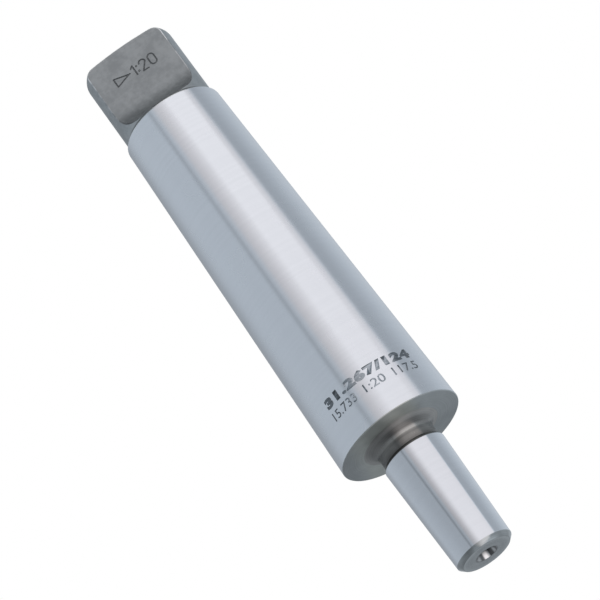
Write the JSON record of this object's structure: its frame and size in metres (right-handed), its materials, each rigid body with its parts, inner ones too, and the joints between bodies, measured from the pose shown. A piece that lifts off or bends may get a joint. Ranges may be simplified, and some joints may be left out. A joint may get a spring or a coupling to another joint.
{
  "type": "morse taper arbor",
  "caption": "Drill chuck arbor in one piece of steel: a long tanged taper shank, a shoulder, a short neck and a chuck taper.",
  "frame": {"origin": "centre of the flat end face of the chuck taper, on which the arbor stands", "axes": "+Z along the arbor's axis from the chuck taper to the tang, -Y the outward normal of the tang flat with the engraved mark"},
  "size_m": [0.0316, 0.0316, 0.1588],
  "materials": {
    "steel": "ground tapers, turned shoulder and neck, dull milled tang"
  },
  "bodies": {
    "root": {"arbor": "steel"}
  },
  "joints": []
}
